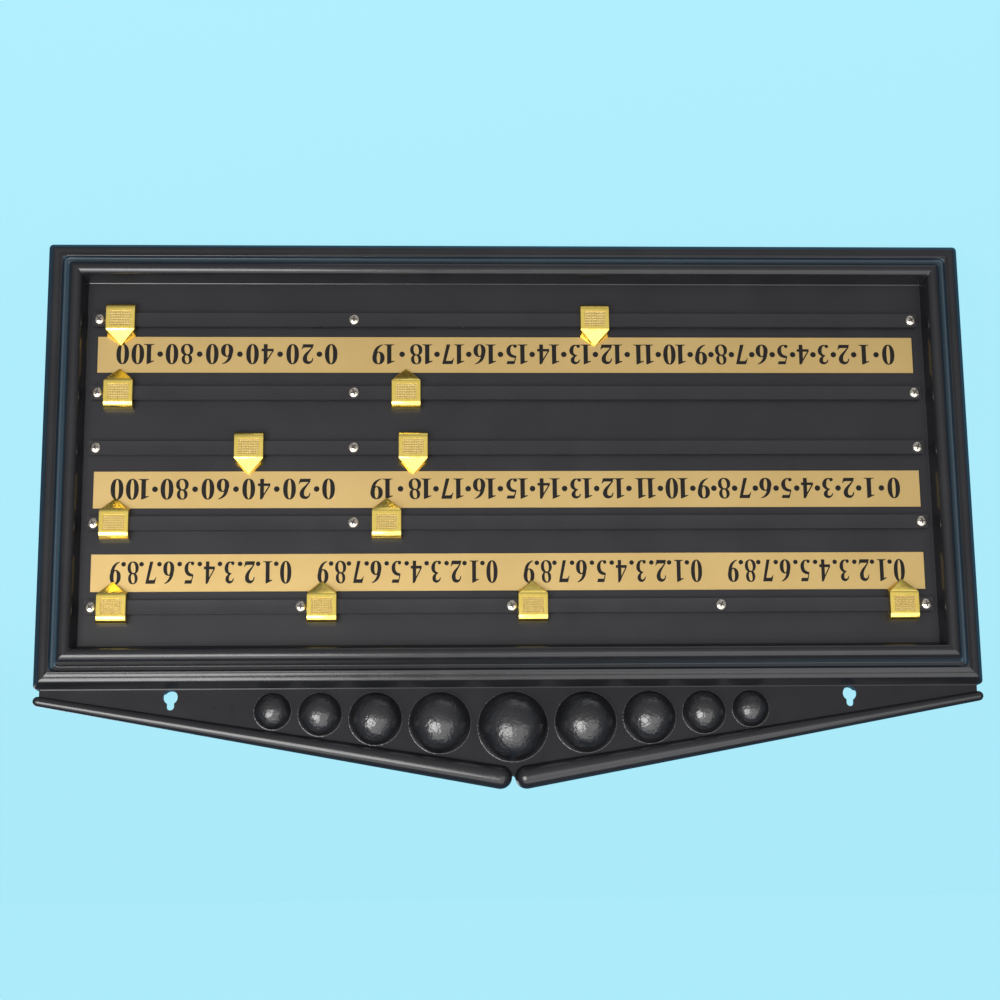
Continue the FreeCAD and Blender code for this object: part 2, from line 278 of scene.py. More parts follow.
def brick(x0, x1, z0, z1, h0, h1):
    """A block between two places along X, two up the wall and two heights from it."""
    verts = [at(x, z, h) for h in (h0, h1) for x, z in rectangle(x0, x1, z0, z1)]
    faces = [(0, 1, 2, 3), (4, 5, 6, 7), (0, 1, 5, 4), (1, 2, 6, 5), (2, 3, 7, 6), (3, 0, 4, 7)]
    return verts, faces


def carved(obj, cutters):
    """Cuts closed shapes out of an object, and leaves one plain mesh."""
    holders = []
    for verts, faces in cutters:
        tool = finished("cutter", clean(verts, faces))
        holders.append(tool)
        cut = obj.modifiers.new("cut", "BOOLEAN")
        cut.operation = "DIFFERENCE"
        cut.solver = "EXACT"
        cut.object = tool
    bpy.context.view_layer.update()
    mesh = bpy.data.meshes.new_from_object(obj.evaluated_get(bpy.context.evaluated_depsgraph_get()))
    obj.modifiers.clear()
    old = obj.data
    obj.data = mesh
    bpy.data.meshes.remove(old)
    for tool in holders:
        spare = tool.data
        bpy.data.objects.remove(tool)
        bpy.data.meshes.remove(spare)


# ---- materials ----
def set_stops(node, stops):
    """Gives a colour ramp its (position, colour) stops, with the first and last on its own two ends."""
    elements = node.color_ramp.elements
    for element, (position, color) in ((elements[0], stops[0]), (elements[1], stops[-1])):
        element.position = position
        element.color = (*color, 1)
    for position, color in stops[1:-1]:
        elements.new(position).color = (*color, 1)


class Look:
    """A node material, made step by step."""

    def __init__(self, material):
        self.material = material
        self.material.use_nodes = True
        self.tree = self.material.node_tree
        self.shader = self.tree.nodes["Principled BSDF"]
        self.where = self.add("ShaderNodeTexCoord").outputs["Object"]

    def add(self, kind, **values):
        node = self.tree.nodes.new(kind)
        for key, value in values.items():
            setattr(node, key, value)
        return node

    def link(self, source, socket):
        self.tree.links.new(source, socket)

    def noise(self, scale, detail=3.0, rough=0.55, stretch=(1, 1, 1)):
        mapping = self.add("ShaderNodeMapping")
        mapping.inputs["Scale"].default_value = stretch
        self.link(self.where, mapping.inputs["Vector"])
        node = self.add("ShaderNodeTexNoise")
        node.inputs["Scale"].default_value = scale
        node.inputs["Detail"].default_value = detail
        node.inputs["Roughness"].default_value = rough
        self.link(mapping.outputs["Vector"], node.inputs["Vector"])
        return node.outputs["Fac"]

    def span(self, source, low, high, start=0.3, end=0.7):
        node = self.add("ShaderNodeMapRange")
        node.inputs["From Min"].default_value = start
        node.inputs["From Max"].default_value = end
        node.inputs["To Min"].default_value = low
        node.inputs["To Max"].default_value = high
        self.link(source, node.inputs["Value"])
        return node.outputs["Result"]

    def blend(self, source, first, second, start=0.3, end=0.7):
        node = self.add("ShaderNodeValToRGB")
        set_stops(node, ((start, first), (end, second)))
        self.link(source, node.inputs["Fac"])
        return node.outputs["Color"]

    def bump(self, source, height, under=None):
        node = self.add("ShaderNodeBump")
        node.inputs["Strength"].default_value = 1.0
        node.inputs["Distance"].default_value = height
        self.link(source, node.inputs["Height"])
        if under is not None:
            self.link(under, node.inputs["Normal"])
        return node.outputs["Normal"]

    def set(self, **values):
        for key, value in values.items():
            self.shader.inputs[key.replace("_", " ")].default_value = value

    def use(self, source, socket):
        self.link(source, self.shader.inputs[socket])


def plastic(name, dark, light, rough, peel, ripple, gloss=0.5):
    """Moulded black plastic: faint tone changes, uneven gloss, orange peel and slow ripples.

    rough is the range of the roughness, peel a noise scale and a height, and ripple a height.
    """
    look = Look(bpy.data.materials.new(name))
    look.use(look.blend(look.noise(28, 4), dark, light), "Base Color")
    look.use(look.span(look.noise(60, 5, 0.65), *rough), "Roughness")
    waves = look.bump(look.noise(22, 2), ripple)
    look.use(look.bump(look.noise(peel[0], 2), peel[1], under=waves), "Normal")
    look.set(Specular_IOR_Level=gloss, IOR=1.5)
    return look.material


def speckled(name, dark, light, tone_scale, rough, rough_noise, **settings):
    """A material with fine noise in its colour and its gloss."""
    look = Look(bpy.data.materials.new(name))
    look.use(look.blend(look.noise(tone_scale, 3), dark, light), "Base Color")
    look.use(look.span(look.noise(*rough_noise), *rough), "Roughness")
    look.set(**settings)
    return look


def tint_groove(material):
    """A painted reflection along the groove that runs round the frame: a deep blue cast that stands in for
    the pale blue surroundings seen in the groove, with two paler painted reflection lines in it.

    Along the top member it is faint, and towards +X it is gone.
    """
    groove = (0.009, 0.017)  # where the cast lies, in metres from the frame's outer edge
    fade_along, fade_from, fade_to = (-0.24, 0.04), 0.72, 1.0
    # painted reflection colours: navy in the groove, and a faint and a brighter painted reflection line
    black, navy = (0, 0, 0), (0.0035, 0.014, 0.026)
    faint, line = (0.013, 0.042, 0.062), (0.024, 0.070, 0.098)
    look = Look(material)
    base = look.shader.inputs["Base Color"].links[0].from_socket
    place = look.add("ShaderNodeSeparateXYZ")
    look.link(look.where, place.inputs["Vector"])

    def math_node(operation, first, second):
        node = look.add("ShaderNodeMath", operation=operation)
        for socket, value in zip(node.inputs, (first, second)):
            if isinstance(value, float):
                socket.default_value = value
            else:
                look.link(value, socket)
        return node.outputs["Value"]

    across = math_node("SUBTRACT", frame_width / 2 * MM, math_node("ABSOLUTE", place.outputs["X"], 0.0))
    below = math_node("SUBTRACT", place.outputs["Z"], frame_bottom * MM)
    above = math_node("SUBTRACT", frame_top * MM, place.outputs["Z"])
    beside = math_node("MINIMUM", across, below)
    fade = look.span(place.outputs["X"], fade_from, fade_to, *fade_along)
    on_top = math_node("LESS_THAN", above, beside)
    strength = math_node("SUBTRACT", 1.0, math_node("MULTIPLY", on_top, fade))
    inset = math_node("MINIMUM", beside, above)
    ramp = look.add("ShaderNodeValToRGB")
    look.link(look.span(inset, 0.0, 1.0, *groove), ramp.inputs["Fac"])
    set_stops(ramp, (
        (0.0, black), (0.10, black), (0.15, navy), (0.24, navy), (0.28, faint), (0.36, faint), (0.41, navy),
        (0.50, navy), (0.55, line), (0.66, line), (0.71, navy), (0.76, navy), (0.84, black), (1.0, black)))
    mix = look.add("ShaderNodeMix", data_type="RGBA", blend_type="ADD")
    colors = [socket for socket in mix.inputs if socket.type == "RGBA"]
    look.link(strength, mix.inputs[0])
    look.link(base, colors[0])
    look.link(ramp.outputs["Color"], colors[1])
    look.use(next(socket for socket in mix.outputs if socket.type == "RGBA"), "Base Color")


def make_plastics():
    return {
        "frame": plastic("black_gloss_plastic", (0.0095, 0.0098, 0.0112), (0.0145, 0.015, 0.0168),
                         rough=(0.15, 0.24), peel=(420, 0.00002), ripple=0.00006),
        "panel": plastic("black_satin_plastic", (0.0078, 0.0079, 0.0104), (0.0118, 0.0119, 0.015),
                         rough=(0.36, 0.46), peel=(900, 0.000015), ripple=0.0001, gloss=0.42),
        "plate": plastic("black_plate_plastic", (0.0070, 0.0071, 0.0092), (0.0102, 0.0103, 0.013),
                         rough=(0.20, 0.27), peel=(900, 0.000015), ripple=0.0001, gloss=0.30),
        "dome": plastic("black_dome_plastic", (0.005, 0.0052, 0.006), (0.012, 0.0122, 0.0135),
                        rough=(0.14, 0.32), peel=(480, 0.00037), ripple=0.0005, gloss=0.80),
        "rail": plastic("black_rail_plastic", (0.0095, 0.0095, 0.012), (0.0135, 0.0135, 0.0158),
                        rough=(0.26, 0.36), peel=(700, 0.000015), ripple=0.00005),
    }


def make_metals():
    strip = speckled("satin_gold_foil", (0.61, 0.43, 0.168), (0.67, 0.48, 0.20), tone_scale=14,
                     rough=(0.34, 0.46), rough_noise=(900, 2, 0.6), Metallic=0.92)
    brushed = strip.noise(1500, 2, 0.6, stretch=(0.25, 1, 1))
    strip.use(strip.bump(brushed, 0.00001), "Normal")
    plating = (700, 4, 0.7)
    pointer = speckled("polished_gold_plate", (0.98, 0.72, 0.15), (1.0, 0.79, 0.21), tone_scale=300,
                       rough=(0.17, 0.27), rough_noise=plating, Metallic=1.0)
    pointer.use(pointer.bump(pointer.noise(420, 2), 0.00004), "Normal")
    # the sunk grip's floor: a matt finish, and a darker gold that is painted shade in the sunk grid
    grip = speckled("matt_gold_grip_painted_shade", (0.54, 0.38, 0.11), (0.64, 0.45, 0.14), tone_scale=300,
                    rough=(0.34, 0.44), rough_noise=plating, Metallic=1.0)
    # the grip's ridges: a paler, brighter gold that is a painted highlight on their tops
    ridge = speckled("gold_ridge_painted_highlight", (0.98, 0.77, 0.30), (1.0, 0.83, 0.38), tone_scale=300,
                     rough=(0.20, 0.30), rough_noise=plating, Metallic=1.0)
    screw = speckled("nickel_plate", (0.55, 0.50, 0.43), (0.70, 0.65, 0.57), tone_scale=500,
                     rough=(0.18, 0.32), rough_noise=(1400, 3), Metallic=1.0)
    # painted shade: a darker nickel for the faces inside each screw's cross recess
    recess = speckled("nickel_recess_painted_shade", (0.05, 0.045, 0.04), (0.09, 0.08, 0.07), tone_scale=500,
                      rough=(0.45, 0.6), rough_noise=(1400, 3), Metallic=0.6)
    return {"strip": strip.material, "pointer": pointer.material, "grip": grip.material,
            "ridge": ridge.material, "screw": screw.material, "recess": recess.material}


def make_materials():
    """Every material by the name of what it covers."""
    found = make_plastics() | make_metals()
    # the frame's groove gets a painted reflection in its base colour
    tint_groove(found["frame"])
    ink = speckled("printed_black_ink", (0.005, 0.004, 0.0035), (0.009, 0.0075, 0.0065), tone_scale=900,
                   rough=(0.42, 0.55), rough_noise=(1200, 3), Specular_IOR_Level=0.22)
    found["ink"] = ink.material
    return found


# ---- the moulding ----
def section():
    """The frame's section as (distance in from the outer edge, height): front face, then hollow back."""
    front = [(0.0, 0.0), (0.0, 8.4), (0.5, 9.5), (3.2, 13.6)]
    front += arc((3.2, 13.6), (3.7, 14.3), (4.5, 14.7), 7)
    front += [(5.3, 14.95), (6.3, 15.0), (7.3, 15.05), (8.3, 15.3), (9.1, 15.8)]  # the outer band
    front += arc((9.1, 15.8), (9.6, 15.9), (10.0, 15.6), 5)
    front += [(10.8, 14.1), (12.0, 13.95), (13.1, 13.9)]  # the groove
    front += [(13.5, 14.3), (14.2, 16.0), (15.2, 18.4)]  # the bead, and the fall to the panel
    front += arc((15.2, 18.4), (19.5, 22.6), (23.4, 20.4), 26)
    front += [(23.9, 19.2), (25.6, 9.8)]
    front += arc((25.6, 9.8), (25.8, 9.3), (26.4, 9.0), 5)
    back = [(26.4, 0.0), (22.2, 0.0), (22.2, 19.4), (17.2, 19.4), (17.2, 15.4), (15.2, 15.4), (15.2, 10.4),
            (8.0, 10.4), (8.0, 12.8), (5.0, 12.8), (5.0, 10.4), (3.0, 10.4), (3.0, 0.0)]
    return softened(front + back, 0.3)


def path(inset):
    """Where a point of the section goes round the frame, with its corners turned on a small radius."""
    steps, hold = 5, 0.6
    groove_edge, groove_end = 9.6, 15.0
    groove_radius, tighter = 4.2, 0.35  # the groove's corners turn wider, less so further in
    half, low, high = frame_width / 2 - inset, frame_bottom + inset, frame_top - inset
    radius = max(corner_radius - inset, soft_corner)
    if groove_edge < inset < groove_end:
        radius = max(radius, groove_radius - tighter * (inset - groove_edge))
    points = []
    for sx, sz, first in ((1, -1, -90), (1, 1, 0), (-1, 1, 90), (-1, -1, 180)):
        cx = sx * (half - radius)
        cz = (high - radius) if sz > 0 else (low + radius)
        turn = [math.radians(first + 90 * k / steps) for k in range(steps + 1)]
        ends = [(cx + radius * math.cos(a), cz + radius * math.sin(a)) for a in turn]
        lead = Vector((-math.sin(turn[0]), math.cos(turn[0]))) * hold
        away = Vector((-math.sin(turn[-1]), math.cos(turn[-1]))) * hold
        points.append((ends[0][0] - lead.x, ends[0][1] - lead.y))
        points += ends
        points.append((ends[-1][0] + away.x, ends[-1][1] + away.y))
    return points


def frame_mesh():
    """The mitred frame, with gussets across its hollow back."""
    profile = section()
    rings = [[at(x, z, h) for x, z in path(inset)] for inset, h in profile]
    verts = [point for ring in rings for point in ring]
    parts = [(verts, grid_faces(len(rings), len(rings[0]), True, True))]
    half, t = frame_width / 2, rib_thickness / 2
    for step in range(-4, 5):
        x = step * gusset_pitch
        for z0, z1 in ((frame_bottom + gusset_near, frame_bottom + gusset_far),
                       (frame_top - gusset_far, frame_top - gusset_near)):
            parts.append(brick(x - t, x + t, z0, z1, rib_back, gusset_top))
    middle = (frame_bottom + frame_top) / 2
    for step in (-1.5, -0.5, 0.5, 1.5):
        z = middle + step * gusset_pitch
        for x0, x1 in ((-half + gusset_near, -half + gusset_far), (half - gusset_far, half - gusset_near)):
            parts.append(brick(x0, x1, z - t, z + t, rib_back, gusset_top))
    return merged(parts)


def middles(values, gap):
    """The middles of groups of values, where groups lie more than a gap apart."""
    values = sorted(values)
    starts = [k for k in range(len(values)) if k == 0 or values[k] - values[k - 1] > gap]
    groups = [values[a:b] for a, b in zip(starts, starts[1:] + [len(values)])]
    return [(group[0] + group[-1]) / 2 for group in groups]


def screw_rows():
    """For each rail, its height up the wall and its screws' places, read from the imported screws."""
    rows = {}
    for rail in rail_names:
        z = sum(box_mm(rail)[1]) / 2
        spread = [vertex.co.x / MM for vertex in nodes[rail + "_screws"].data.vertices]
        rows[rail] = (z, middles(spread, 8))
    return rows


def panel_mesh(rows):
    """The flat panel, with shallow pockets for the strips, and ribs and screw bosses behind."""
    lap = 0.8  # how far it runs in under the frame
    half = frame_width / 2 - member_width + lap
    low, high = frame_bottom + member_width - lap, frame_top - member_width + lap
    under = panel_front - panel_thickness
    t = rib_thickness / 2
    regions = [(rectangle(-half, half, low, high), under, panel_front)]
    for z, _ in rows.values():
        regions.append((rectangle(-half, half, z - t, z + t), rib_back, panel_front))
    for x in rib_places:
        regions.append((rectangle(x - t, x + t, low, high), rib_back, panel_front))
    for name in strip_names:
        (x0, x1), (z0, z1), _ = box_mm(name)
        z0, z1 = z0 - pocket_margin, z1 + pocket_margin
        floor = panel_front - pocket_depth
        regions.append((rectangle(x0 - pocket_margin, x1 + pocket_margin, z0, z1), under, floor))
        for x in rib_places:
            regions.append((rectangle(x - t, x + t, z0, z1), rib_back, floor))
    for z, places in rows.values():
        for x in places:
            regions.append((circle(x, z, boss_radius, 28), boss_back, panel_front))
            regions.append((circle(x, z, boss_bore, 16), None, None))
    return relief(regions)


def plate_outline(inset):
    """The crest plate's outline, a notched gable, drawn in by some distance."""
    side = plate_half_width - inset
    drop = inset * 1.02  # measured up the wall, from an edge that slopes
    shoulder = rake_inner[0] + 0.3
    right = [(side, frame_top - 1), (side, rake_peak - rake_slope * side - drop),
             (shoulder, rake_peak - rake_slope * shoulder - drop)]
    return right + [(0, plate_notch_top - drop)] + [(-x, z) for x, z in reversed(right)]


def keyhole(x):
    """A round entry with a narrow slot above it."""
    join = math.asin(keyhole_slot_radius / keyhole_radius)
    entry = turned(keyhole_radius, math.pi / 2 + join, 2 * math.pi - 2 * join, 26)
    seat = turned(keyhole_slot_radius, 0, math.pi, 12)
    return [(x + a, b) for a, b in entry] + [(x + a, keyhole_slot_centre + b) for a, b in seat]


def plate_mesh():
    """The crest plate with its rim, its openings and a fine fillet where it meets the frame."""
    under = plate_front - plate_thickness
    foot = rectangle(-plate_half_width, plate_half_width, frame_top - 2, frame_top + 2.5)
    regions = [(plate_outline(0), 0.0, plate_front), (plate_outline(plate_wall), under, plate_front),
               (foot, 0.0, plate_front)]
    for name in dome_names:
        (x0, x1), (z0, z1), _ = box_mm(name)
        radius = (x1 - x0) / 2 - dome_flange - spigot_inset
        regions.append((circle((x0 + x1) / 2, (z0 + z1) / 2, radius, 56), None, None))
    for side in (-1, 1):
        regions.append((keyhole(side * keyhole_half_spacing), None, None))
    half, near, far = plate_half_width - 0.6, frame_top - 0.2, frame_top + 0.65
    low = plate_front - 0.2
    corners = ((near, low), (far, low), (far, plate_front), (near, plate_front + 0.15))
    fillet = [at(x, z, h) for x in (-half, half) for z, h in corners]
    sides = [(0, 1, 2, 3), (7, 6, 5, 4)] + [(k, 4 + k, 4 + (k + 1) % 4, (k + 1) % 4) for k in range(4)]
    return merged([relief(regions), (fillet, sides)])


def rake_mesh(side):
    """A tapered half-round moulding with rounded ends."""
    steps, hold, quarter = 24, 0.5, math.pi / 2
    (x0, z0, r0), (x1, z1, r1) = rake_outer, rake_inner
    start, end = Vector((side * x0, z0)), Vector((side * x1, z1))
    run = end - start
    length = run.length
    run.normalize()
    across = Vector((-run.y, run.x))
    stations = [(-a, b) for a, b in turned(r0, 0, quarter, 8)]  # (place along, radius)
    stations += [(hold, r0 + (r1 - r0) * hold / length), (length / 2, (r0 + r1) / 2),
                 (length - hold, r1 - (r1 - r0) * hold / length)]
    stations += [(length + b, a) for a, b in turned(r1, 0, quarter, 12)]
    verts = []
    for s, radius in stations:
        for a, b in turned(radius, 0, math.pi, steps):
            spot = start + run * s + across * a
            verts.append(at(spot.x, spot.y, plate_front + b))
    faces = grid_faces(len(stations), steps + 1, False, False)
    for i in range(len(stations) - 1):
        a, b = i * (steps + 1), (i + 1) * (steps + 1)
        faces.append((a, b, b + steps, a + steps))
    return verts, faces


def dome_mesh(bounds):
    """A hollow half-ball cap with a thin flange and its spigot."""
    shell, quarter = 1.8, math.pi / 2
    (x0, x1), (z0, z1), (_, top) = bounds
    radius = (x1 - x0) / 2 - dome_flange
    height = top - plate_front
    ball = (radius ** 2 + height ** 2) / (2 * height)
    middle = top - ball
    flange, floor = plate_front + 0.4, plate_front + 1.2
    spigot, bore = radius - spigot_inset, radius - spigot_inset - spigot_wall
    spigot_end = plate_front - plate_thickness
    first = math.asin((flange - middle) / ball)
    outer = [(a, middle + b) for a, b in turned(ball, quarter, first - quarter, 30)]
    rim = radius + dome_flange
    base = [(rim - 0.14, flange), (rim - 0.04, flange - 0.04), (rim, flange - 0.14), (rim, plate_front),
            (spigot, plate_front), (spigot, spigot_end), (bore, spigot_end), (bore, floor)]
    inner_ball = ball - shell
    start = math.asin((floor - middle) / inner_ball)
    inner = [(a, middle + b) for a, b in turned(inner_ball, start, quarter - start, 16)]
    outer[0] = (0.0, top)
    inner[-1] = (0.0, middle + inner_ball)
    return lathe(outer + base + inner, (x0 + x1) / 2, (z0 + z1) / 2, 72)


# ---- rails and screws ----
def rail_mesh(name):
    """A T-section rail with a slightly crowned face."""
    stem, shelf, camber, hold, steps = 2.5, 2.0, 0.07, 0.4, 8
    (x0, x1), (z0, z1), (h0, h1) = box_mm(name)
    z = (z0 + z1) / 2
    head = (z1 - z0) / 2
    crown = [(head * k / steps, h1 - camber * (1 - (k / steps) ** 2)) for k in range(-steps, steps + 1)]
    outline = [(-stem, h0), (-stem, h0 + shelf), (-head, h0 + shelf)] + crown
    outline += [(head, h0 + shelf), (stem, h0 + shelf), (stem, h0)]
    stations = (x0, x0 + hold, x1 - hold, x1)
    verts = [at(x, z + across, h) for x in stations for across, h in outline]
    faces = grid_faces(len(stations), len(outline), False, True)
    faces.append(tuple(range(len(outline))))
    faces.append(tuple(range(3 * len(outline), 4 * len(outline))))
    return verts, faces


recess_reach, recess_low, recess_high = 1.9, 14.2, 15.0  # where the faces of a screw's cross recess lie


def screw_blank():
    """One pan-head screw at the middle of the board's frame, with its cross recess."""
    seat, crown, radius, edge, soft = 13.4, 15.4, 3.3, 0.9, 0.15
    shank, length, point, steps = 1.5, 10.4, 0.4, 10
    arm, t, deep = 1.8, 0.45, 1.1
    rise = crown - seat - edge
    ball = (radius ** 2 + rise ** 2) / (2 * rise)
    profile = [(0.0, crown)]
    for k in range(1, steps + 1):
        r = (radius - soft) * k / steps
        profile.append((r, crown - ball + math.sqrt(ball ** 2 - r ** 2)))
    end = seat - length
    profile += [(radius, seat + edge - soft), (radius, seat), (shank, seat), (shank, end + point),
                (shank - point, end), (0.0, end)]
    blank = solid("screw", lathe(profile, 0, 0, 40))
    low, high = crown - deep, crown + 1
    carved(blank, [brick(-arm, arm, -t, t, low, high), brick(-t, t, -arm, arm, low, high)])
    blank.data.shade_smooth()
    blank.data.set_sharp_from_angle(angle=math.radians(30))
    return blank


# ---- pointers ----
def pointer_blank():
    """A pointer that points up, centred on its rail, and how many faces it has without its grip."""
    half, face_half, face, floor = 9.2, 7.4, 17.0, 9.6
    tail, tip, tip_height, tip_half = -10.0, 16.2, 10.6, 0.5
    cheek = 9.9  # from here the foot of each side runs in to the tip
    soft = 0.45
    # each row is a place up the wall, the top's height, and half the width at the top and at the foot
    rows = [(tail, floor, half, half), (tail, floor + 1.2, half, half), (tail, 12.8, half, half)]
    rows += [(z, h, half, half) for z, h in arc((tail, 12.8), (-8.9, 15.7), (-6.2, face), 9)]
    rows += [(-5.6, face, half, half), (face_half - 1.0, face, half, half)]
    rows += [(face_half - 0.35, face - 0.02, half, half), (face_half + 0.25, face - 0.28, half - 0.28, half)]
    for z in (8.5, cheek - 0.2, cheek + 0.2, 11.0, 11.9, 12.9, 14.0, 15.1, tip - 0.3, tip):
        t = (z - face_half) / (tip - face_half)
        u = max(0.0, (z - cheek) / (tip - cheek))
        top = face + (tip_height - face) * t
        rows.append((z, top, half + (tip_half - half) * t, half + (tip_half - half) * u))
    verts = []
    for z, top, w, foot in rows:
        r = min(soft, w * 0.8, max(top - floor, 0.0) * 0.5)
        lean = (foot - w) * r / max(top - floor, 1.0)
        left = [(-foot, floor), (-w - lean, top - r)]
        for a in (math.pi / 8, math.pi / 4, 3 * math.pi / 8):
            left.append((-w + r * (1 - math.cos(a)), top - r + r * math.sin(a)))
        left.append((-w + r, top))
        across = left + [(-x, h) for x, h in reversed(left)]
        verts += [at(x, z, h) for x, h in across]
    count = len(across)
    faces = grid_faces(len(rows), count, False, True)
    last = (len(rows) - 1) * count
    faces.append(tuple(range(last, last + count)))
    blank = solid("pointer", (verts, faces))
    gap, head, neck, past = 0.4, 4.3, 2.5, 1.0
    rail_under, rail_face, wall = 11.0, 13.4, 1.1
    grip_wide, grip_high, sunk = 13.0, 9.8, 0.4
    cutters = [
        brick(-half - past, half + past, -head - gap, head + gap, rail_under - gap, rail_face + gap),
        brick(-half - past, half + past, -neck - gap, neck + gap, 0, rail_under),
        brick(-half + wall, half - wall, -face_half - 0.6, face_half - wall, floor + 1.0, face - wall),
        brick(-grip_wide / 2, grip_wide / 2, -grip_high / 2, grip_high / 2, face - sunk, face + past),
    ]
    carved(blank, cutters)
    bm = bmesh.new()
    bm.from_mesh(blank.data)
    body_faces = len(bm.faces)
    verts, faces = waffle(grip_wide, grip_high, face - 0.5, face - 0.20, face - 0.06)
    mesh = bpy.data.meshes.new("grip")
    mesh.from_pydata([tuple(v) for v in verts], [], faces)
    bm.from_mesh(mesh)
    bpy.data.meshes.remove(mesh)
    bm.to_mesh(blank.data)
    bm.free()
    blank.data.shade_smooth()
    blank.data.set_sharp_from_angle(angle=math.radians(26))
    return blank, body_faces


waffle_base = 6  # faces of the block that the ridges stand on


def waffle(width, height, under, floor, top):
    """A tight grid of crossing ridges with roof-shaped tops."""
    columns, rows, reach, edge = 12, 9, 0.16, 0.02
    x0, x1, z0, z1 = -width / 2 + edge, width / 2 - edge, -height / 2 + edge, height / 2 - edge
    parts = [brick(x0, x1, z0, z1, under, floor + edge)]
    faces = [(0, 1, 2), (5, 4, 3), (0, 3, 4, 1), (1, 4, 5, 2), (2, 5, 3, 0)]
    roof = ((-reach, floor), (0, top), (reach, floor))
    for i in range(columns + 1):
        x = min(max(-width / 2 + width * i / columns, x0 + reach), x1 - reach)
        parts.append(([at(x + a, z, h) for z in (z0, z1) for a, h in roof], faces))
    for j in range(rows + 1):
        z = min(max(-height / 2 + height * j / rows, z0 + reach), z1 - reach)
        parts.append(([at(x, z + a, h) for x in (x0, x1) for a, h in roof], faces))
    return merged(parts)


# ---- numerals ----
# widths are in letter heights
half_widths = {letter: 0.275 for letter in "023456789"}
half_widths["1"] = 0.085
letter_gap = 0.17
least_step = 0.48


def between(a, b, c, d, t):
    """A smooth curve's value between b and c."""
    squared, cubed = 2 * a - 5 * b + 4 * c - d, 3 * b - a - 3 * c + d
    return 0.5 * (2 * b + (c - a) * t + squared * t * t + cubed * t ** 3)


def stroke(points):
    """Quads along a smooth pen path; each point is (x, y, width)."""
    steps = 6
    ends = [points[0]] + list(points) + [points[-1]]
    spine = []
    for a, b, c, d in zip(ends, ends[1:], ends[2:], ends[3:]):
        for k in range(steps):
            spine.append([between(a[i], b[i], c[i], d[i], k / steps) for i in range(3)])
    spine.append(list(points[-1]))
    sides = []
    for k, (x, y, width) in enumerate(spine):
        before, after = spine[max(k - 1, 0)], spine[min(k + 1, len(spine) - 1)]
        run = Vector((after[0] - before[0], after[1] - before[1])).normalized()
        off = Vector((-run.y, run.x)) * width / 2
        sides.append(((x + off.x, y + off.y), (x - off.x, y - off.y)))
    return [[a[0], a[1], b[1], b[0]] for a, b in zip(sides, sides[1:])]


def bowl(x, y, rx, ry, thick, thin, tilt=0.0):
    """A closed ring, thick at its sides and thin at its top and bottom."""
    steps, squareness = 32, 0.92
    rings = []
    for radius_x, radius_y in ((rx, ry), (rx - thick, ry - thin)):
        ring = []
        for k in range(steps):
            a = 2 * math.pi * k / steps
            px = radius_x * math.copysign(abs(math.cos(a)) ** squareness, math.cos(a))
            py = radius_y * math.copysign(abs(math.sin(a)) ** squareness, math.sin(a))
            ring.append((x + px + tilt * (py if radius_x < rx else 0), y + py))
        rings.append(ring)
    return [[rings[0][k - 1], rings[0][k], rings[1][k], rings[1][k - 1]] for k in range(steps)]


def disc(x, y, radius):
    return [circle(x, y, radius, 20)]


